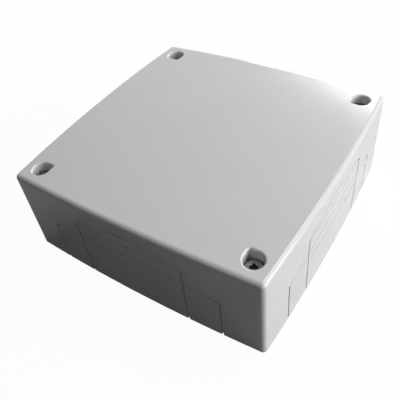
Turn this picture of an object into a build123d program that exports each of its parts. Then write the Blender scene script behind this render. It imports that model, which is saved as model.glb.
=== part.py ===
from build123d import *
import os
from math import sqrt

os.makedirs("parts", exist_ok=True)

# Square surface-mounted junction box: a moulded base with a terminal strip, under a hood-type cover.
# The origin is at the centre of the face that goes against the wall. Z points away from that wall,
# X and Y run along the walls of the housing. All sizes are in millimetres.

# Housing, as seen from outside
side = 100.0                # width and depth, corner to corner, at the top edge
height = 36.4               # top corner above the mounting face
bow = 1.6                   # how far the middle of each wall bulges past its corners
draft_run = 0.3             # how much further out each wall stands at its foot
crown = 1.25                # rise of the domed top from its corners to its centre
edge_radius = 1.6           # rounding of the upright corners and of the upper edge
wall = 2.2
top_thickness = 2.4
inner_corner_radius = 0.8
overrun = 2.0               # how far a cutting shape runs past the face it enters by

# Cover screws and the wells that hold their heads
screw_inset = 7.0           # cover screws from the lines between the corners, both ways
screw_radius = 1.75         # M3.5
screw_length = 20.0         # under the head
head_radius = 2.95
head_height = 2.4
head_sink = 3.6             # top of the head below the top face
head_edge = 0.35            # chamfer of the head's upper edge
driver_depth = 1.7          # cross recess
driver_width = 1.1
driver_span = 2.8
well_radius = 3.3
well_corner_radius = 1.1
well_rounding = 0.6
boss_wall = 1.5
boss_rib = 1.4
screw_hole_radius = 2.05
retainer_radius = 3.3
retainer_thickness = 1.0
retainer_room = 0.3         # around and under the retainer, in its pocket
thread_clearance = 0.05     # between a screw's shank and what it is threaded into

# Knock-out outlines in the walls, open at the foot of the wall
low_width = 70.0
low_height = 18.8           # at the ends of its arched top line
low_arch = 2.6
tall_width = 43.4
tall_height = 27.2
tall_arch = 3.5
tall_line_height = 26.8     # straight line under the arch of the tall outline
low_line_height = 15.8      # straight line across the tall outline
upright_groove_width = 0.7
upright_groove_depth = 0.75
level_groove_width = 0.42
level_groove_depth = 0.3

# Base
plate_thickness = 2.0
base_clearance = 0.3        # between the base and the inside of the cover
rim_height = 7.0
rim_thickness = 1.6
rim_gap_margin = 1.5        # each side of the widest knock-out
pillar_radius = 4.4
pillar_top = 24.0
pillar_rib = 1.4
pillar_rib_reach = 8.0
pillar_rib_height = 15.0
pillar_rib_foot = 3.0       # height of a rib at its far end
insert_radius = 2.6
insert_length = 8.0
insert_flange_radius = 3.1
insert_flange = 0.8
tip_room = 2.0              # depth left under the tip of a cover screw
tip_hole_radius = 2.05

# Wall fixing and cable entries of the base
fixing_pitch = 64.0
fixing_hole_radius = 2.2
fixing_slot_length = 9.0
fixing_pad_radius = 5.0
fixing_pad_height = 1.0
rear_entry_radius = 10.0
rear_entry_offset = 27.0
rear_groove_width = 0.8
rear_groove_depth = 1.3
tie_pad_gap = 1.4           # between a tie bridge and the fixing pad beside it
tie_strip_gap = 2.4         # between a tie bridge and the end of the terminal strip
tie_length = 8.0
tie_width = 3.2
tie_height = 4.2
tie_slot_length = 5.0
tie_slot_height = 1.8
tie_rounding = 1.0

# Terminal strip
ways = 5
pitch = 11.0
strip_depth = 21.0
barrel_radius = 4.6
floor_thickness = 2.0
floor_depth = 13.0
tower_radius = 3.3
tower_height = 15.5         # above the underside of the strip
tower_hole_radius = 2.35
end_chamfer = 0.5
ear_length = 8.5
ear_thickness = 3.0
seat_height = 1.5           # pads of the base under the strip
seat_width = 3.0
sleeve_radius = 3.05
sleeve_length = 17.0
sleeve_clearance = 0.1
sleeve_bore_radius = 1.75
sleeve_bore_drop = 0.65     # bore below the middle of the sleeve, for a thick threaded side
clamp_spacing = 10.0
clamp_screw_radius = 1.5
clamp_head_radius = 2.15
clamp_head_height = 1.9
clamp_lift = 0.6            # head above the sleeve with the terminal open
clamp_reach = 0.1           # how far an open screw stands into the bore
slot_width = 0.6
slot_depth = 0.8

# Screws that hold the strip to the base
block_screw_radius = 1.45
block_head_radius = 2.7
block_head_height = 2.0
block_head_edge = 0.6
block_hole_radius = 1.75
block_boss_radius = 3.2
block_tip_room = 0.4
block_hole_skin = 0.5       # plastic left under the hole for a strip screw

# Places worked out from the sizes above
half_side = side / 2
corner_reach = half_side * sqrt(2)
dome_radius = (corner_reach ** 2 + crown ** 2) / (2 * crown)
screw_place = half_side - screw_inset
screw_reach = screw_place * sqrt(2)
strip_length = ways * pitch + 2 * ear_length
strip_floor = plate_thickness + seat_height
barrel_axis = strip_floor + barrel_radius
sleeve_axis = barrel_axis - sleeve_clearance
sleeve_top = sleeve_axis + sleeve_radius
block_screw_place = ways * pitch / 2 + ear_length / 2
tie_place_y = fixing_pitch / 2 + fixing_pad_radius + tie_pad_gap + tie_width / 2
tie_place_x = strip_length / 2 + tie_strip_gap + tie_width / 2


def dome_height(reach):
    """Height of the domed top at a distance from the middle of the box."""
    return height + crown - dome_radius + sqrt(dome_radius ** 2 - reach ** 2)


def post(radius, low, high):
    """Upright round bar between two heights."""
    return Pos(0, 0, low) * Cylinder(radius, high - low, align=(Align.CENTER, Align.CENTER, Align.MIN))


well_top = dome_height(screw_reach)
head_top = well_top - head_sink
well_floor = head_top - head_height
screw_tip = well_floor - screw_length


def bowed_square(z, half, radius):
    """Square outline whose sides are shallow outward arcs, with its corners rounded if a radius is given."""
    arcs = []
    points = [(half, -half), (half, half), (-half, half), (-half, -half)]
    middles = [(half + bow, 0), (0, half + bow), (-half - bow, 0), (0, -half - bow)]
    for number in range(4):
        arcs.append(ThreePointArc(points[number], middles[number], points[(number + 1) % 4]))
    outline = make_face(Wire(arcs))
    if radius > 0:
        outline = fillet(outline.vertices(), radius)
    return Pos(0, 0, z) * outline


def wall_half(z, inset):
    """Half of the housing's side at a height, for a surface that lies inside the outer one."""
    return half_side - inset + draft_run * (1 - z / height)


def dome_ball(inset):
    """Ball with the domed roof as its top, its poles turned sideways to leave the roof a plain patch."""
    return Pos(0, 0, height + crown - dome_radius) * Rot(90, 0, 0) * Sphere(dome_radius - inset)


def drafted_walls(inset, radius, foot):
    """Tall block with drafted, bowed walls, inset from the housing's, before its roof is cut."""
    tall = height + 2 * crown
    return loft([bowed_square(foot, wall_half(foot, inset), radius),
                 bowed_square(tall, wall_half(tall, inset), radius)], ruled=True)


def rounded_block():
    """Outside of the housing as one solid: only the edges round its foot are left sharp."""
    block = drafted_walls(0, 0, 0.0) & dome_ball(0)
    return fillet([e for e in block.edges() if e.center().Z > height / 4], edge_radius)


def well_outline(grow=0.0):
    """Round screw well, squared off towards the middle of the box."""
    radius = well_radius + grow
    round_part = Circle(radius)
    corner = Pos(-radius / 2, -radius / 2) * Rectangle(radius, radius)
    outline = (round_part + corner).clean()
    sharp = outline.vertices().sort_by(Axis.X)[0:3].sort_by(Axis.Y)[0]
    return fillet(sharp, well_corner_radius + grow)


def at_corners(shape):
    """Four copies of a shape made for the corner at positive X and Y, at the cover screws."""
    placed = Pos(screw_place, screw_place, 0) * shape
    return [Rot(0, 0, 90 * number) * placed for number in range(4)]


def arch_face(width, flat_height, arch):
    """Upright outline that is open below: two sides and an arched or straight top."""
    left, right, foot = -width / 2, width / 2, -overrun
    sides = [Line((right, flat_height), (right, foot)), Line((right, foot), (left, foot)),
             Line((left, foot), (left, flat_height))]
    if arch > 0:
        top = ThreePointArc((left, flat_height), (0, flat_height + arch), (right, flat_height))
    else:
        top = Line((left, flat_height), (right, flat_height))
    return make_face(Wire(sides + [top]))


def outline_band(width, flat_height, arch, groove):
    """Band of one groove's width along an outline."""
    outer = arch_face(width + groove, flat_height + groove / 2, arch)
    inner = arch_face(width - groove, flat_height - groove / 2, arch)
    return outer - inner


def push_through_wall(flat):
    """Turns a drawing of the front wall into a solid that passes through that wall."""
    upright = Plane.XZ * flat
    return Pos(0, -half_side + 5 * wall, 0) * extrude(upright, 10 * wall)


def below(level):
    """Drawing of all that lies below a level of the front wall."""
    return Pos(0, (level - overrun) / 2) * Rectangle(side, level + overrun)


def knock_out_grooves():
    """Grooves of one wall: upright lines deep, level lines fine, all following the bowed wall."""
    low_lines = outline_band(low_width, low_height, low_arch, upright_groove_width)
    tall_lines = outline_band(tall_width, tall_height, tall_arch, upright_groove_width)
    uprights = push_through_wall((low_lines & below(low_height)) + (tall_lines & below(tall_height)))
    low_top = outline_band(low_width, low_height, low_arch, level_groove_width)
    tall_top = outline_band(tall_width, tall_height, tall_arch, level_groove_width)
    level_lines = (low_top - below(low_height)) + (tall_top - below(tall_height))
    for line_height in (tall_line_height, low_line_height):
        level_lines += Pos(0, line_height) * Rectangle(tall_width, level_groove_width)
    levels = push_through_wall(level_lines)
    return (uprights - drafted_walls(upright_groove_depth, 0, -2 * overrun)
            + (levels - drafted_walls(level_groove_depth, 0, -2 * overrun)))


def make_cover():
    rounded = rounded_block()
    cavity = drafted_walls(wall, inner_corner_radius, -overrun) & dome_ball(top_thickness)
    boss = extrude(Pos(0, 0, pillar_top) * well_outline(boss_wall), height)
    rib_length = half_side - screw_place
    rib_box = Box(rib_length, boss_rib, height, align=(Align.MIN, Align.CENTER, Align.MIN))
    ribs = Pos(0, 0, pillar_top) * (rib_box + Rot(0, 0, 90) * rib_box)
    cavity = cavity - at_corners(boss + ribs)

    well = extrude(Pos(0, 0, well_floor) * well_outline(), height)
    hole = post(screw_hole_radius, 0, height)
    pocket_depth = retainer_thickness + 2 * retainer_room
    pocket = post(retainer_radius + retainer_room, 0, pillar_top + pocket_depth)
    solid = rounded - cavity - at_corners(well + hole + pocket)

    rims = [e for e in solid.edges() if e.center().Z > dome_height(screw_reach + 2 * well_radius) - well_rounding
            and all(abs(abs(c) - screw_place) < 2 * well_radius for c in (e.center().X, e.center().Y))]
    solid = fillet(rims, well_rounding)

    one_wall = knock_out_grooves()
    return solid - [Rot(0, 0, 90 * number) * one_wall for number in range(4)]


def make_cover_screw():
    head = post(head_radius, well_floor, head_top)
    head = chamfer(head.edges().sort_by(Axis.Z)[-1], head_edge)
    shank = post(screw_radius, screw_tip, well_floor)
    shank = chamfer(shank.edges().sort_by(Axis.Z)[0], screw_radius / 3)
    bar = Box(driver_span, driver_width, 2 * driver_depth)
    cross = Pos(0, 0, head_top) * (bar + Rot(0, 0, 90) * bar)
    return head + shank - cross


def make_screw_retainer():
    low = pillar_top + retainer_room
    return post(retainer_radius, low, low + retainer_thickness) - post(screw_radius + thread_clearance, 0, height)


def insert_shape():
    """Outer shape of the brass insert that is moulded into a pillar."""
    body = post(insert_radius, pillar_top - insert_length, pillar_top)
    flange = post(insert_flange_radius, pillar_top - insert_flange, pillar_top)
    return body + flange


def make_pillar_insert():
    bore = post(screw_radius + thread_clearance, pillar_top - 2 * insert_length, 2 * pillar_top)
    return insert_shape() - bore


def make_pillar():
    """Screw pillar with two gussets that point along the walls, towards the middle of each."""
    drawing = Polyline([(0, 0), (-pillar_rib_reach, 0), (-pillar_rib_reach, pillar_rib_foot),
                        (-pillar_radius, pillar_rib_height), (0, pillar_rib_height), (0, 0)])
    gusset = extrude(Plane.XZ * make_face(drawing), pillar_rib / 2, both=True)
    return post(pillar_radius, 0, pillar_top) + gusset + Rot(0, 0, -90) * mirror(gusset, Plane.YZ)


def pillar_cut():
    return post(tip_hole_radius, screw_tip - tip_room, pillar_top) + insert_shape()


def tie_bridge():
    """Small bridge on the base plate that takes a cable tie."""
    low = plate_thickness
    block = Pos(0, 0, low) * Box(tie_length, tie_width, tie_height,
                                 align=(Align.CENTER, Align.CENTER, Align.MIN))
    top_edges = block.edges().filter_by(Axis.Y).sort_by(Axis.Z)[-2:]
    block = fillet(top_edges, tie_rounding)
    slot = Pos(0, 0, low) * Box(tie_slot_length, 2 * tie_width, 2 * tie_slot_height)
    return block - slot


def make_base():
    inset = wall + base_clearance
    plate = extrude(bowed_square(0, half_side - inset, inner_corner_radius), plate_thickness)
    rim_block = extrude(bowed_square(0, half_side - inset, inner_corner_radius), rim_height)
    room_half = half_side - inset - rim_thickness
    rim_room = extrude(bowed_square(-overrun, room_half, inner_corner_radius), 2 * rim_height)
    gap = Box(low_width + 2 * rim_gap_margin, 2 * side, 4 * rim_height)
    rims = rim_block - rim_room - gap - Rot(0, 0, 90) * gap
    corner_fill = Box(side, side, rim_height, align=Align.MIN)
    body = plate + rims + at_corners(make_pillar()) + [c & rim_block for c in at_corners(corner_fill)]

    seat = Box(seat_width, floor_depth, seat_height, align=(Align.CENTER, Align.CENTER, Align.MIN))
    boss = post(block_boss_radius, 0, seat_height)
    for direction in (-1, 1):
        body += Pos(direction * pitch, 0, plate_thickness) * seat
        body += Pos(direction * block_screw_place, 0, plate_thickness) * boss
        body += Pos(0, direction * tie_place_y, 0) * tie_bridge()
        body += Pos(direction * tie_place_x, 0, 0) * Rot(0, 0, 90) * tie_bridge()
        body += Pos(0, direction * fixing_pitch / 2, plate_thickness) * post(fixing_pad_radius, 0, fixing_pad_height)

    slot = extrude(Rot(0, 0, 90) * SlotOverall(fixing_slot_length, 2 * fixing_hole_radius), 4 * plate_thickness)
    slots = [Pos(0, direction * fixing_pitch / 2, -overrun) * slot for direction in (-1, 1)]
    body = body - slots - at_corners(pillar_cut())

    ring = Cylinder(rear_entry_radius, 2 * rear_groove_depth) - Cylinder(
        rear_entry_radius - rear_groove_width, 4 * rear_groove_depth)
    for direction in (-1, 1):
        body -= Pos(direction * rear_entry_offset, direction * rear_entry_offset, plate_thickness) * ring
        body -= Pos(direction * block_screw_place, 0, 0) * post(
            block_screw_radius + thread_clearance, block_hole_skin, strip_floor)
    return body


def at_ways(shape):
    """Copies of a shape along the strip, one for each way."""
    first = -pitch * (ways - 1) / 2
    return [Pos(first + number * pitch, 0, 0) * shape for number in range(ways)]


def lying_cylinder(radius, length):
    return Rot(90, 0, 0) * Cylinder(radius, length)


def make_terminal_block():
    """Strip of barrels side by side, each with two screw towers, and an ear at each end."""
    floor = Pos(0, 0, strip_floor) * Box(ways * pitch, floor_depth, floor_thickness,
                                         align=(Align.CENTER, Align.CENTER, Align.MIN))
    ears = Pos(0, 0, strip_floor) * Box(strip_length, floor_depth, ear_thickness,
                                        align=(Align.CENTER, Align.CENTER, Align.MIN))
    ears = fillet(ears.edges().filter_by(Axis.Z), floor_depth / 4)
    barrel = lying_cylinder(barrel_radius, strip_depth)
    barrel = Pos(0, 0, barrel_axis) * chamfer(barrel.edges().filter_by(GeomType.CIRCLE), end_chamfer)
    one_way = barrel
    for direction in (-1, 1):
        one_way += Pos(0, direction * clamp_spacing / 2, 0) * post(
            tower_radius, barrel_axis, strip_floor + tower_height)
    body = ears + floor + at_ways(one_way)
    bore = Pos(0, 0, barrel_axis) * lying_cylinder(sleeve_radius + sleeve_clearance, 2 * strip_depth)
    cut = bore
    for direction in (-1, 1):
        cut += Pos(0, direction * clamp_spacing / 2, 0) * post(tower_hole_radius, barrel_axis, height)
    body = body - at_ways(cut)
    for direction in (-1, 1):
        body -= Pos(direction * block_screw_place, 0, 0) * post(block_hole_radius, 0, height)
    return body


def make_terminal_sleeve():
    """Brass sleeve that lies on the floor of its barrel, with two threaded holes in its thick side."""
    bar = lying_cylinder(sleeve_radius, sleeve_length)
    bar = chamfer(bar.edges().filter_by(GeomType.CIRCLE), end_chamfer / 2)
    body = Pos(0, 0, sleeve_axis) * (bar - Pos(0, 0, -sleeve_bore_drop) * lying_cylinder(
        sleeve_bore_radius, 2 * sleeve_length))
    for direction in (-1, 1):
        body -= Pos(0, direction * clamp_spacing / 2, 0) * post(
            clamp_screw_radius + thread_clearance, sleeve_axis, height)
    return body


def make_clamp_screw():
    """Slotted clamp screw, drawn back so that its terminal is open."""
    bore_top = sleeve_axis - sleeve_bore_drop + sleeve_bore_radius
    head_foot = sleeve_top + clamp_lift
    foot = bore_top - clamp_reach
    shank = post(clamp_screw_radius, foot, head_foot)
    head = post(clamp_head_radius, head_foot, head_foot + clamp_head_height)
    slot = Pos(0, 0, head_foot + clamp_head_height) * Box(3 * clamp_head_radius, slot_width, 2 * slot_depth)
    return shank + head - slot


def make_block_screw():
    seat = strip_floor + ear_thickness
    head = post(block_head_radius, seat, seat + block_head_height)
    head = chamfer(head.edges().sort_by(Axis.Z)[-1], block_head_edge)
    shank = post(block_screw_radius, block_hole_skin + block_tip_room, seat)
    slot = Pos(0, 0, seat + block_head_height) * Box(3 * block_head_radius, slot_width, 2 * slot_depth)
    return head + shank - slot


def all_clamp_screws():
    pair = [Pos(0, direction * clamp_spacing / 2, 0) * make_clamp_screw() for direction in (-1, 1)]
    return [screw for screw_at in pair for screw in at_ways(screw_at)]


def save(name, shapes):
    solids = [solid for shape in shapes for solid in shape.solids()]
    result = solids[0] if len(solids) == 1 else Compound(children=solids)
    export_step(result, f"parts/{name}.step")


save("cover", [make_cover()])
save("base", [make_base()])
save("cover_screws", at_corners(make_cover_screw()))
save("screw_retainers", at_corners(make_screw_retainer()))
save("pillar_inserts", at_corners(make_pillar_insert()))
save("terminal_block", [make_terminal_block()])
for number, sleeve in enumerate(at_ways(make_terminal_sleeve()), start=1):
    save(f"terminal_sleeve_{number}", [sleeve])
save("terminal_screws", all_clamp_screws())
save("block_screws", [Pos(direction * block_screw_place, 0, 0) * make_block_screw() for direction in (-1, 1)])
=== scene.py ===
"""Looks of a square surface-mounted junction box, laid out as an add-on and run as a script."""
import math

import bmesh
import bpy
import numpy as np
from bpy.props import FloatProperty, FloatVectorProperty, IntProperty, PointerProperty
from bpy.types import Operator, Panel, PropertyGroup
from mathutils import Matrix, Vector


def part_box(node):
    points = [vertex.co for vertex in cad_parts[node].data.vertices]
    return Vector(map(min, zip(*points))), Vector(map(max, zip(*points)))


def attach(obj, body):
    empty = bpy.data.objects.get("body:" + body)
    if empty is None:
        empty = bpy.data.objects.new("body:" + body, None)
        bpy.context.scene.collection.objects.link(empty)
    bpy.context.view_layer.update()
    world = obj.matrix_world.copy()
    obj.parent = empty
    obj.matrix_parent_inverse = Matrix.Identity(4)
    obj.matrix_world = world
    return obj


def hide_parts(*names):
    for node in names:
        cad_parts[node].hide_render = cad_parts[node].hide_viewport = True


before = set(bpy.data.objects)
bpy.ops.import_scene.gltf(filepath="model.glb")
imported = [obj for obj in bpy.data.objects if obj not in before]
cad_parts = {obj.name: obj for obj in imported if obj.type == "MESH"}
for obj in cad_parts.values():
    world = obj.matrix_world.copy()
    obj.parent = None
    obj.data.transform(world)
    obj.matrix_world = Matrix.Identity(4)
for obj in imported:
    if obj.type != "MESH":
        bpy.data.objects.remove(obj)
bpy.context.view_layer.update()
screws_low, screws_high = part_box("cover_screws")

bl_info = {
    "name": "Junction Box Looks",
    "version": (1, 0, 0),
    "blender": (4, 5, 0),
    "location": "3D View > Sidebar > Junction Box",
    "description": "Finishes, cover screws and studio stage of a surface-mounted junction box",
    "category": "Object",
}

MM = 0.001
TURN = 2 * math.pi

# Noise seldom leaves this range, so a cloud's whole effect is spread over it
NOISE_LOW, NOISE_HIGH = 0.3, 0.7

# Plastics: how far colour and gloss wander, how many patches of gloss lie across a flow cloud, how deep
# the skin's bumps are, and how far light goes into the milky ones, with its red, green and blue shares
PLASTIC_IOR = 1.48
PLASTIC_TINT_SPREAD = 0.012
PLASTIC_ROUGHNESS_SPREAD = 0.02
PATCHES_A_CLOUD = 6
PATCH_DEPTH = 0.012 * MM
PLASTIC_GRAIN_DEPTH = 0.004 * MM
MILKY_DEPTH = 1.2 * MM
MILKY_SHARES = (1.0, 0.9, 0.75)

# Metals: how far colour and gloss wander, how many grains lie across a cloud, how deep the marks are
METAL_TINT_SPREAD = 0.06
METAL_ROUGHNESS_SPREAD = 0.05
GRAINS_A_CLOUD = 6
METAL_GRAIN_DEPTH = 0.006 * MM

# Fittings: size of their grain and flow clouds, and how milky their plastics are
STEEL_GRAIN = 0.25 * MM
BRASS_GRAIN = 0.3 * MM
NATURAL_GRAIN = 0.3 * MM
STRIP_FLOW = 9 * MM
STRIP_MILKY = 0.35
RETAINER_FLOW = 4 * MM
RETAINER_MILKY = 0.25

# Screw tip: radii and heights of its rings, and where the thread starts, in radii of the thread's core
TIP_RADII = np.array([0.25, 0.55, 0.8])
TIP_RISES = np.array([0.0, 0.0, 0.25])
THREAD_START = 0.45

# Screw thread: the wave that shapes it is steepened and lowered, so that crest and root come out flat
RINGS_A_TURN = 8
WAVE_STEEPNESS = 1.6
WAVE_DROP = 0.15

# Screw neck: bare length under the head, its ramp in thread pitches and its thickness in thread depths
NECK_LENGTH = 2.5 * MM
NECK_RAMP = 0.5
NECK_THICKNESS = 0.35

# Screw head: rings of its underside in head radii, the rounding of its upper edge, the rings across its
# top, how steeply the recess sinks from its edges, and how sharp an edge still shades smoothly
HEAD_RADIUS = 2.95 * MM
UNDERSIDE_RADII = np.array([0.62, 0.97, 1.0])
UNDERSIDE_RISES = np.array([0.0, 0.0, 0.03])
EDGE_ROUNDING = 0.35 * MM
EDGE_RINGS = 5
TOP_RINGS = 42
RECESS_SLOPE = 5.0
SMOOTH_LIMIT = math.radians(38)

# Corners of a square round the axis, the turn of the first screw's recess and how much further each next
# one is turned, in radians: driven screws stop at any angle
CORNERS = ((1, 1), (-1, 1), (-1, -1), (1, -1))
FIRST_RECESS_TURN = 0.35
NEXT_RECESS_TURN = 1.1

# Stage: the point that the side and overhead softboxes face, the camera's sensor in millimetres and its
# near limit, half the floor's side, and how white the floor is to bounced light and in reflections
LAMP_AIM = (0, 0, 20 * MM)
SENSOR_WIDTH = 36.0
NEAREST_SEEN = 5 * MM
FLOOR_REACH = 3.0
FLOOR_BOUNCE = 0.08
FLOOR_MIRRORED = 0.85

# Kinds of rays that show the surroundings themselves
MIRRORED_RAYS = ("Is Glossy Ray", "Is Transmission Ray")
CAMERA_RAY = "Is Camera Ray"


class HousingFinish(PropertyGroup):
    """Finish of the moulded cover and base."""
    colour: FloatVectorProperty(
        name="Colour", description="Colour of the moulded plastic", subtype="COLOR", size=3,
        min=0.0, max=1.0, default=(0.74, 0.74, 0.743))
    roughness: FloatProperty(
        name="Roughness", description="Mean roughness of the moulded skin", subtype="FACTOR",
        min=0.0, max=1.0, default=0.15)
    grain: FloatProperty(
        name="Grain", description="Size of the fine grain of the moulded skin",
        unit="LENGTH", default=0.35 * MM)
    flow: FloatProperty(
        name="Flow marks", description="Size of the faint clouds that the melt leaves",
        unit="LENGTH", default=24 * MM)


class FittingsFinish(PropertyGroup):
    """Finishes of the screws and of the pieces inside."""
    steel: FloatVectorProperty(
        name="Steel", description="Colour of the zinc-plated steel", subtype="COLOR", size=3,
        min=0.0, max=1.0, default=(0.60, 0.61, 0.63))
    steel_roughness: FloatProperty(
        name="Steel roughness", description="Mean roughness of the zinc plating", subtype="FACTOR",
        min=0.0, max=1.0, default=0.36)
    dark_steel: FloatVectorProperty(
        name="Dark steel", description="Colour of the blackened steel of the cover screws", subtype="COLOR",
        size=3, min=0.0, max=1.0, default=(0.17, 0.17, 0.18))
    dark_steel_roughness: FloatProperty(
        name="Dark steel roughness", description="Mean roughness of the blackened steel", subtype="FACTOR",
        min=0.0, max=1.0, default=0.42)
    brass: FloatVectorProperty(
        name="Brass", description="Colour of the brass", subtype="COLOR", size=3,
        min=0.0, max=1.0, default=(0.78, 0.57, 0.27))
    brass_roughness: FloatProperty(
        name="Brass roughness", description="Mean roughness of the turned brass", subtype="FACTOR",
        min=0.0, max=1.0, default=0.34)
    strip: FloatVectorProperty(
        name="Strip", description="Colour of the terminal strip's plastic", subtype="COLOR", size=3,
        min=0.0, max=1.0, default=(0.80, 0.79, 0.74))
    strip_roughness: FloatProperty(
        name="Strip roughness", description="Mean roughness of the terminal strip's plastic",
        subtype="FACTOR", min=0.0, max=1.0, default=0.42)
    retainer: FloatVectorProperty(
        name="Retainer", description="Colour of the screw retainers' plastic", subtype="COLOR", size=3,
        min=0.0, max=1.0, default=(0.70, 0.70, 0.68))
    retainer_roughness: FloatProperty(
        name="Retainer roughness", description="Mean roughness of the screw retainers' plastic",
        subtype="FACTOR", min=0.0, max=1.0, default=0.5)


class CoverScrews(PropertyGroup):
    """Sizes of the screws that hold the cover."""
    spacing: FloatProperty(
        name="Screw spacing", description="Distance between neighbouring cover screws",
        unit="LENGTH", default=screws_high[0] - screws_low[0] - 2 * HEAD_RADIUS)
    shank_radius: FloatProperty(
        name="Shank radius", description="Outer radius of the thread", unit="LENGTH", default=1.75 * MM)
    thread_pitch: FloatProperty(
        name="Thread pitch", description="Rise of the thread in one turn", unit="LENGTH", default=0.6 * MM)
    thread_depth: FloatProperty(
        name="Thread depth", description="Depth of the thread's groove", unit="LENGTH", default=0.35 * MM)
    head_radius: FloatProperty(
        name="Head radius", description="Outer radius of the head", unit="LENGTH", default=HEAD_RADIUS)
    head_height: FloatProperty(
        name="Head height", description="Height of the head", unit="LENGTH", default=2.4 * MM)
    recess_depth: FloatProperty(
        name="Recess depth", description="Depth of the cross recess", unit="LENGTH", default=1.7 * MM)
    recess_width: FloatProperty(
        name="Recess width", description="Width of the recess's arms", unit="LENGTH", default=1.1 * MM)
    recess_span: FloatProperty(
        name="Recess span", description="Length across two arms", unit="LENGTH", default=2.8 * MM)
    around: IntProperty(
        name="Facets around", description="Number of points round a screw", default=32, min=12)


class StudioStage(PropertyGroup):
    """Camera, lamps and floor."""
    camera_place: FloatVectorProperty(
        name="Camera place", description="Where the camera stands", subtype="TRANSLATION", size=3,
        default=(84.90 * MM, -117.34 * MM, 148.78 * MM))
    camera_azimuth: FloatProperty(
        name="Azimuth", description="Turn of the view about Z, from looking along +Y",
        subtype="ANGLE", default=math.radians(38.03))
    camera_elevation: FloatProperty(
        name="Elevation", description="How far the view looks down", subtype="ANGLE",
        default=math.radians(45.34))
    camera_roll: FloatProperty(
        name="Roll", description="Turn of the picture in its own plane", subtype="ANGLE",
        default=math.radians(-7.787))
    lens: FloatProperty(
        name="Lens", description="Focal length on a 36 mm sensor, in millimetres",
        unit="CAMERA", default=44.175)
    back_place: FloatVectorProperty(
        name="Back softbox place", description="Where the softbox behind the box hangs",
        subtype="TRANSLATION", size=3, default=(-179 * MM, 649 * MM, 252 * MM))
    back_aim: FloatVectorProperty(
        name="Back softbox aim", description="Point that the softbox behind the box faces",
        subtype="TRANSLATION", size=3, default=(-444 * MM, 225 * MM, 252 * MM))
    back_size: FloatVectorProperty(
        name="Back softbox size", description="Width and height of that softbox",
        subtype="XYZ_LENGTH", size=2, default=(431 * MM, 324 * MM))
    back_power: FloatProperty(
        name="Back softbox", description="Power of the softbox behind the box",
        subtype="POWER", default=3.0)
    side_place: FloatVectorProperty(
        name="Side softbox place", description="Where the softbox on the right hangs",
        subtype="TRANSLATION", size=3, default=(520 * MM, 90 * MM, 180 * MM))
    side_size: FloatVectorProperty(
        name="Side softbox size", description="Width and height of that softbox",
        subtype="XYZ_LENGTH", size=2, default=(340 * MM, 250 * MM))
    side_power: FloatProperty(
        name="Side softbox", description="Power of the softbox on the right",
        subtype="POWER", default=2.36)
    over_place: FloatVectorProperty(
        name="Overhead softbox place", description="Where the softbox above the box hangs",
        subtype="TRANSLATION", size=3, default=(200 * MM, 250 * MM, 550 * MM))
    over_size: FloatVectorProperty(
        name="Overhead softbox size", description="Width and height of that softbox",
        subtype="XYZ_LENGTH", size=2, default=(300 * MM, 300 * MM))
    over_power: FloatProperty(
        name="Overhead softbox", description="Power of the softbox above the box",
        subtype="POWER", default=1.24)
    fill: FloatProperty(
        name="Fill", description="Strength of the light from all round", default=0.089)
    backdrop: FloatProperty(
        name="Backdrop", description="How much of the floor's white shows without lamplight",
        subtype="FACTOR", min=0.0, max=1.0, default=0.96)


def finish_node(node_name, material):
    """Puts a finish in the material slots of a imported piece."""
    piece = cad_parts[node_name]
    for slot in piece.material_slots:
        slot.material = material


def new_finish(name):
    """Material with its node tree and its shader."""
    material = bpy.data.materials.new(name)
    material.use_nodes = True
    tree = material.node_tree
    return material, tree, tree.nodes["Principled BSDF"]


def cloud(tree, size, detail, turn):
    """Noise of a given grain size on Object coordinates, turned so that no two clouds line up."""
    place = tree.nodes.new("ShaderNodeTexCoord")
    mapping = tree.nodes.new("ShaderNodeMapping")
    mapping.inputs["Rotation"].default_value = turn
    noise = tree.nodes.new("ShaderNodeTexNoise")
    noise.inputs["Scale"].default_value = 1 / size
    noise.inputs["Detail"].default_value = detail
    tree.links.new(place.outputs["Object"], mapping.inputs["Vector"])
    tree.links.new(mapping.outputs["Vector"], noise.inputs["Vector"])
    return noise.outputs["Fac"]


def between(tree, factor, low, high):
    """Number that follows a cloud between two values."""
    span = tree.nodes.new("ShaderNodeMapRange")
    span.inputs["From Min"].default_value = NOISE_LOW
    span.inputs["From Max"].default_value = NOISE_HIGH
    span.inputs["To Min"].default_value = low
    span.inputs["To Max"].default_value = high
    tree.links.new(factor, span.inputs["Value"])
    return span.outputs["Result"]


def tint(tree, factor, colour, spread):
    """Colour that is a little darker and lighter by turns, following a cloud."""
    blend = tree.nodes.new("ShaderNodeMix")
    blend.data_type = "RGBA"
    blend.inputs["A"].default_value = (*[c * (1 - spread) for c in colour], 1)
    blend.inputs["B"].default_value = (*[min(1.0, c * (1 + spread)) for c in colour], 1)
    tree.links.new(between(tree, factor, 0.0, 1.0), blend.inputs["Factor"])
    return blend.outputs["Result"]


def relief(tree, shader, heights):
    """Bumps stacked from the coarsest to the finest, each a pair of a cloud and its depth."""
    normal = None
    for factor, depth in heights:
        bump = tree.nodes.new("ShaderNodeBump")
        bump.inputs["Strength"].default_value = 1.0
        bump.inputs["Distance"].default_value = depth
        tree.links.new(factor, bump.inputs["Height"])
        if normal:
            tree.links.new(normal, bump.inputs["Normal"])
        normal = bump.outputs["Normal"]
    tree.links.new(normal, shader.inputs["Normal"])


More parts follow.
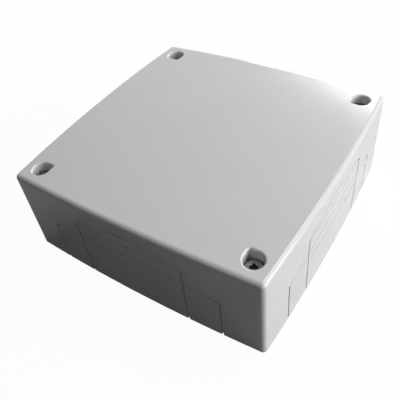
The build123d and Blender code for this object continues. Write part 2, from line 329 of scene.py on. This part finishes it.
def moulded_plastic(name, colour, roughness, grain, flow, milky=0.0):
    """Moulded plastic: faint flow clouds in its colour, uneven gloss, a slight waviness and a fine grain."""
    material, tree, shader = new_finish(name)
    clouds = cloud(tree, flow, detail=3.0, turn=(0.3, 0.1, 0.5))
    fine = cloud(tree, grain, detail=2.0, turn=(0.7, 0.4, 0.2))
    patches = cloud(tree, flow / PATCHES_A_CLOUD, detail=2.0, turn=(0.2, 0.9, 0.1))
    uneven = between(tree, patches, roughness - PLASTIC_ROUGHNESS_SPREAD,
                     roughness + PLASTIC_ROUGHNESS_SPREAD)
    tree.links.new(tint(tree, clouds, colour, PLASTIC_TINT_SPREAD), shader.inputs["Base Color"])
    tree.links.new(uneven, shader.inputs["Roughness"])
    shader.inputs["IOR"].default_value = PLASTIC_IOR
    if milky:
        shader.inputs["Subsurface Weight"].default_value = milky
        shader.inputs["Subsurface Radius"].default_value = MILKY_SHARES
        shader.inputs["Subsurface Scale"].default_value = MILKY_DEPTH
    relief(tree, shader, [(patches, PATCH_DEPTH), (fine, PLASTIC_GRAIN_DEPTH)])
    return material


def metal(name, colour, roughness, grain):
    """Plated or turned metal: cloudy colour, uneven gloss and fine tool marks."""
    material, tree, shader = new_finish(name)
    clouds = cloud(tree, GRAINS_A_CLOUD * grain, detail=3.0, turn=(0.5, 0.2, 0.8))
    fine = cloud(tree, grain, detail=2.0, turn=(0.1, 0.6, 0.3))
    uneven = between(tree, fine, roughness - METAL_ROUGHNESS_SPREAD,
                     roughness + METAL_ROUGHNESS_SPREAD)
    tree.links.new(tint(tree, clouds, colour, METAL_TINT_SPREAD), shader.inputs["Base Color"])
    tree.links.new(uneven, shader.inputs["Roughness"])
    shader.inputs["Metallic"].default_value = 1.0
    relief(tree, shader, [(fine, METAL_GRAIN_DEPTH)])
    return material


class JUNCTIONBOX_OT_housing(Operator):
    """Finishes the moulded cover and base"""
    bl_idname = "junctionbox.housing"
    bl_label = "Housing"

    def execute(self, context):
        look = context.scene.junctionbox_housing
        plastic = moulded_plastic("housing_plastic", look.colour, look.roughness, look.grain, look.flow)
        for node_name in ("cover", "base"):
            finish_node(node_name, plastic)
        return {"FINISHED"}


class JUNCTIONBOX_OT_fittings(Operator):
    """Finishes the terminal strip, the inserts, the retainers and the screws inside"""
    bl_idname = "junctionbox.fittings"
    bl_label = "Fittings"

    def execute(self, context):
        look = context.scene.junctionbox_fittings
        steel = metal("zinc_plated_steel", look.steel, look.steel_roughness, STEEL_GRAIN)
        brass = metal("turned_brass", look.brass, look.brass_roughness, BRASS_GRAIN)
        strip = moulded_plastic("strip_plastic", look.strip, look.strip_roughness,
                                NATURAL_GRAIN, STRIP_FLOW, STRIP_MILKY)
        nylon = moulded_plastic("retainer_plastic", look.retainer, look.retainer_roughness,
                                NATURAL_GRAIN, RETAINER_FLOW, RETAINER_MILKY)
        sleeves = [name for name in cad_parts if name.startswith("terminal_sleeve")]
        for finish, names in ((steel, ["terminal_screws", "block_screws"]),
                              (brass, ["pillar_inserts", *sleeves]),
                              (strip, ["terminal_block"]), (nylon, ["screw_retainers"])):
            for node_name in names:
                finish_node(node_name, finish)
        return {"FINISHED"}


def shank_rings(size, foot, head_foot, angle):
    """Radii and heights of the threaded shank's rings, from the foot of the thread to the head.

    At an angle a and a height h, the radius is the core's plus the thread's depth times a triangle wave of
    h / pitch - a / turn, steepened and lowered between 0 and 1. The wave fades out over one pitch at both
    ends, and a plain neck, a little thicker than the core, leads to the head.
    """
    core = size.shank_radius - size.thread_depth
    neck_foot = head_foot - NECK_LENGTH
    height = np.linspace(foot, head_foot, int((head_foot - foot) / size.thread_pitch * RINGS_A_TURN))
    phase = height[:, None] / size.thread_pitch - angle / TURN
    wave = np.abs(2 * (phase - np.floor(phase)) - 1)
    crest = np.clip(WAVE_STEEPNESS * wave - WAVE_DROP, 0, 1)
    grow = np.clip((height - foot) / size.thread_pitch, 0, 1)
    fade = np.clip((neck_foot - height) / size.thread_pitch, 0, 1)
    neck = np.clip((height - neck_foot) / (NECK_RAMP * size.thread_pitch), 0, 1)
    radius = core + size.thread_depth * (crest * (grow * fade)[:, None] + NECK_THICKNESS * neck[:, None])
    return radius, height


def head_rings(size, head_foot, head_top):
    """Radii and heights of the head's rings: its underside, its side and a quarter circle at its edge."""
    bend = np.linspace(0, math.pi / 2, EDGE_RINGS)
    radius = np.concatenate([UNDERSIDE_RADII * size.head_radius,
                             size.head_radius - EDGE_ROUNDING * (1 - np.cos(bend))])
    height = np.concatenate([head_foot + UNDERSIDE_RISES * size.head_radius,
                             head_top - EDGE_ROUNDING * (1 - np.sin(bend))])
    return radius, height


def recess_depth(x, y, size):
    """Depth below the head's top of a cross with sloping walls, from the distance to the arms' edges."""
    half_width, half_span = size.recess_width / 2, size.recess_span / 2
    along_x = np.minimum(half_width - np.abs(y), half_span - np.abs(x))
    along_y = np.minimum(half_width - np.abs(x), half_span - np.abs(y))
    return np.clip(RECESS_SLOPE * np.maximum(along_x, along_y), 0, size.recess_depth)


def all_round(values, around):
    """Rings that have the same value at each of their points."""
    return np.repeat(values[:, None], around, 1)


def ring_quads(rings, around):
    """Quads between neighbouring rings of points, closed round the axis."""
    ring, column = np.meshgrid(np.arange(rings - 1), np.arange(around), indexing="ij")
    after = (column + 1) % around
    quads = np.stack([ring * around + column, ring * around + after,
                      (ring + 1) * around + after, (ring + 1) * around + column], -1)
    return quads.reshape(-1, 4)


def end_fans(rings, around):
    """Triangles from the first ring to the tip's middle and from the last ring to the recess's middle."""
    column = np.arange(around)
    after = (column + 1) % around
    last_ring = (rings - 1) * around
    tip_middle = rings * around
    recess_middle = tip_middle + 1
    return np.concatenate([
        np.stack([np.full(around, tip_middle), after, column], -1),
        np.stack([np.full(around, recess_middle), last_ring + column, last_ring + after], -1)])


def screw_surface(size, head_top, tip):
    """Points, quads and triangles of one upright screw on the Z axis, closed from its tip to its recess.

    Rings of points climb a flat-ended cone, the threaded shank and the turned head. On the head's top they
    shrink to the axis, and they are pressed down wherever a point lies inside the cross of the recess.
    """
    around = size.around
    angle = np.arange(around) * TURN / around
    core = size.shank_radius - size.thread_depth
    head_foot = head_top - size.head_height
    shank_radius, shank_height = shank_rings(size, tip + THREAD_START * core, head_foot, angle)
    head_radius, head_height = head_rings(size, head_foot, head_top)
    top_radius = np.linspace(size.head_radius - EDGE_ROUNDING, 0.0, TOP_RINGS + 2)[1:-1]

    radius = np.concatenate([all_round(TIP_RADII * core, around), shank_radius,
                             all_round(head_radius, around), all_round(top_radius, around)])
    height = np.concatenate([tip + TIP_RISES * core, shank_height, head_height,
                             np.full(TOP_RINGS, head_top)])
    x = radius * np.cos(angle)
    y = radius * np.sin(angle)
    z = all_round(height, around)
    z[-TOP_RINGS:] -= recess_depth(x[-TOP_RINGS:], y[-TOP_RINGS:], size)
    middles = [[0, 0, tip], [0, 0, head_top - size.recess_depth]]
    points = np.concatenate([np.stack([x, y, z], -1).reshape(-1, 3), middles])
    return points, ring_quads(len(height), around), end_fans(len(height), around)


def four_screws(size, points, quads, fans):
    """The same screw at each corner, with its recess turned another way each time."""
    half_spacing = size.spacing / 2
    all_points, all_quads, all_fans = [], [], []
    for number, (side_x, side_y) in enumerate(CORNERS):
        turn = FIRST_RECESS_TURN + NEXT_RECESS_TURN * number
        spin = np.array([[math.cos(turn), -math.sin(turn), 0],
                         [math.sin(turn), math.cos(turn), 0],
                         [0, 0, 1]])
        place = np.array([side_x * half_spacing, side_y * half_spacing, 0])
        all_points.append(points @ spin.T + place)
        all_quads.append(quads + number * len(points))
        all_fans.append(fans + number * len(points))
    return np.concatenate(all_points), np.concatenate(all_quads), np.concatenate(all_fans)


def smooth_by_angle(mesh, limit):
    """Marks the edges that are sharper than a limit, so that only the others shade smoothly."""
    work = bmesh.new()
    work.from_mesh(mesh)
    for edge in work.edges:
        edge.smooth = len(edge.link_faces) == 2 and edge.calc_face_angle() < limit
    work.to_mesh(mesh)
    work.free()


def mesh_piece(name, points, quads, fans, material):
    """Piece with a smoothly shaded mesh of one material, from arrays of points, quads and triangles."""
    mesh = bpy.data.meshes.new(name)
    mesh.from_pydata(points.tolist(), [], quads.tolist() + fans.tolist())
    mesh.polygons.foreach_set("use_smooth", np.ones(len(mesh.polygons), bool))
    mesh.materials.append(material)
    mesh.update()
    smooth_by_angle(mesh, SMOOTH_LIMIT)
    piece = bpy.data.objects.new(name, mesh)
    bpy.context.collection.objects.link(piece)
    return piece


class JUNCTIONBOX_OT_cover_screws(Operator):
    """Makes the threaded cover screws with their cross recesses"""
    bl_idname = "junctionbox.cover_screws"
    bl_label = "Cover screws"

    def execute(self, context):
        size = context.scene.junctionbox_screws
        look = context.scene.junctionbox_fittings
        one_screw = screw_surface(size, screws_high[2], screws_low[2])
        steel = metal("screw_steel", look.dark_steel, look.dark_steel_roughness, STEEL_GRAIN)
        screws = mesh_piece("cover_screws_threaded", *four_screws(size, *one_screw), steel)
        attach(screws, "cover")
        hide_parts("cover_screws")
        return {"FINISHED"}


def soft_lamp(name, place, aim, size, power):
    """Rectangular softbox that faces a point."""
    data = bpy.data.lights.new(name, "AREA")
    data.shape = "RECTANGLE"
    data.size, data.size_y = size
    data.energy = power
    lamp = bpy.data.objects.new(name, data)
    lamp.location = place
    lamp.rotation_euler = (Vector(aim) - Vector(place)).to_track_quat("-Z", "Y").to_euler()
    lamp.visible_camera = False
    bpy.context.collection.objects.link(lamp)


def add_camera(stage):
    """Camera turned about Z, then tilted down, then rolled in its own plane."""
    data = bpy.data.cameras.new("camera")
    data.lens = stage.lens
    data.sensor_width = SENSOR_WIDTH
    data.clip_start = NEAREST_SEEN
    camera = bpy.data.objects.new("camera", data)
    camera.matrix_world = (Matrix.Translation(stage.camera_place)
                           @ Matrix.Rotation(stage.camera_azimuth, 4, "Z")
                           @ Matrix.Rotation(math.pi / 2 - stage.camera_elevation, 4, "X")
                           @ Matrix.Rotation(stage.camera_roll, 4, "Z"))
    bpy.context.collection.objects.link(camera)
    bpy.context.scene.camera = camera


def ray_is(tree, first_kind, *other_kinds):
    """1 for rays of any of the named kinds, else 0."""
    path = tree.nodes.new("ShaderNodeLightPath")
    total = path.outputs[first_kind]
    for kind in other_kinds:
        either = tree.nodes.new("ShaderNodeMath")
        either.operation = "MAXIMUM"
        tree.links.new(total, either.inputs[0])
        tree.links.new(path.outputs[kind], either.inputs[1])
        total = either.outputs[0]
    return total


def add_world(fill):
    """White all round for the camera and for reflections, and a weak even fill for the rest."""
    world = bpy.data.worlds.new("studio")
    bpy.context.scene.world = world
    world.use_nodes = True
    tree = world.node_tree
    background = tree.nodes["Background"]
    background.inputs["Color"].default_value = (1, 1, 1, 1)
    strength = tree.nodes.new("ShaderNodeMix")
    strength.inputs["A"].default_value = fill
    strength.inputs["B"].default_value = 1.0
    tree.links.new(ray_is(tree, *MIRRORED_RAYS, CAMERA_RAY), strength.inputs["Factor"])
    tree.links.new(strength.outputs["Result"], background.inputs["Strength"])


def floor_paper(backdrop):
    """Paper that the camera sees white but for a faint shadow, and that bounces little light."""
    material, tree, shader = new_finish("floor_paper")
    from_camera = ray_is(tree, CAMERA_RAY)
    others = tree.nodes.new("ShaderNodeMix")
    others.inputs["A"].default_value = FLOOR_BOUNCE
    others.inputs["B"].default_value = FLOOR_MIRRORED
    paint = tree.nodes.new("ShaderNodeMix")
    paint.inputs["B"].default_value = 1 - backdrop
    glow = tree.nodes.new("ShaderNodeMath")
    glow.operation = "MULTIPLY"
    glow.inputs[1].default_value = backdrop
    tree.links.new(ray_is(tree, *MIRRORED_RAYS), others.inputs["Factor"])
    tree.links.new(others.outputs["Result"], paint.inputs["A"])
    tree.links.new(from_camera, paint.inputs["Factor"])
    tree.links.new(from_camera, glow.inputs[0])
    tree.links.new(paint.outputs["Result"], shader.inputs["Base Color"])
    tree.links.new(glow.outputs[0], shader.inputs["Emission Strength"])
    shader.inputs["Emission Color"].default_value = (1, 1, 1, 1)
    shader.inputs["Roughness"].default_value = 1.0
    shader.inputs["Specular IOR Level"].default_value = 0.0
    return material


def add_floor(backdrop):
    """Square sheet of pale paper that the box stands on."""
    mesh = bpy.data.meshes.new("floor")
    corners = [(side_x * FLOOR_REACH, side_y * FLOOR_REACH, 0) for side_x, side_y in CORNERS]
    mesh.from_pydata(corners, [], [(0, 1, 2, 3)])
    mesh.materials.append(floor_paper(backdrop))
    floor = bpy.data.objects.new("floor", mesh)
    bpy.context.collection.objects.link(floor)


class JUNCTIONBOX_OT_stage(Operator):
    """Sets up the floor, the softboxes and the camera"""
    bl_idname = "junctionbox.stage"
    bl_label = "Studio stage"

    def execute(self, context):
        stage = context.scene.junctionbox_stage
        context.scene.view_settings.view_transform = "Standard"
        add_camera(stage)
        soft_lamp("back_softbox", stage.back_place, stage.back_aim, stage.back_size, stage.back_power)
        soft_lamp("side_softbox", stage.side_place, LAMP_AIM, stage.side_size, stage.side_power)
        soft_lamp("over_softbox", stage.over_place, LAMP_AIM, stage.over_size, stage.over_power)
        add_world(stage.fill)
        add_floor(stage.backdrop)
        return {"FINISHED"}


OPERATORS = (JUNCTIONBOX_OT_housing, JUNCTIONBOX_OT_fittings, JUNCTIONBOX_OT_cover_screws,
             JUNCTIONBOX_OT_stage)


class JUNCTIONBOX_PT_pieces(Panel):
    """Lists the pieces and the stage"""
    bl_idname = "JUNCTIONBOX_PT_pieces"
    bl_label = "Junction Box"
    bl_space_type = "VIEW_3D"
    bl_region_type = "UI"
    bl_category = "Junction Box"

    def draw(self, context):
        for operator in OPERATORS:
            self.layout.operator(operator.bl_idname)


GROUPS = {"junctionbox_housing": HousingFinish, "junctionbox_fittings": FittingsFinish,
          "junctionbox_screws": CoverScrews, "junctionbox_stage": StudioStage}
CLASSES = (*GROUPS.values(), *OPERATORS, JUNCTIONBOX_PT_pieces)


def register():
    for one_class in CLASSES:
        bpy.utils.register_class(one_class)
    for name, group in GROUPS.items():
        setattr(bpy.types.Scene, name, PointerProperty(type=group))


def unregister():
    for name in GROUPS:
        delattr(bpy.types.Scene, name)
    for one_class in reversed(CLASSES):
        bpy.utils.unregister_class(one_class)


def main():
    register()
    bpy.ops.junctionbox.housing()
    bpy.ops.junctionbox.fittings()
    bpy.ops.junctionbox.cover_screws()
    bpy.ops.junctionbox.stage()


if __name__ == "__main__":
    main()
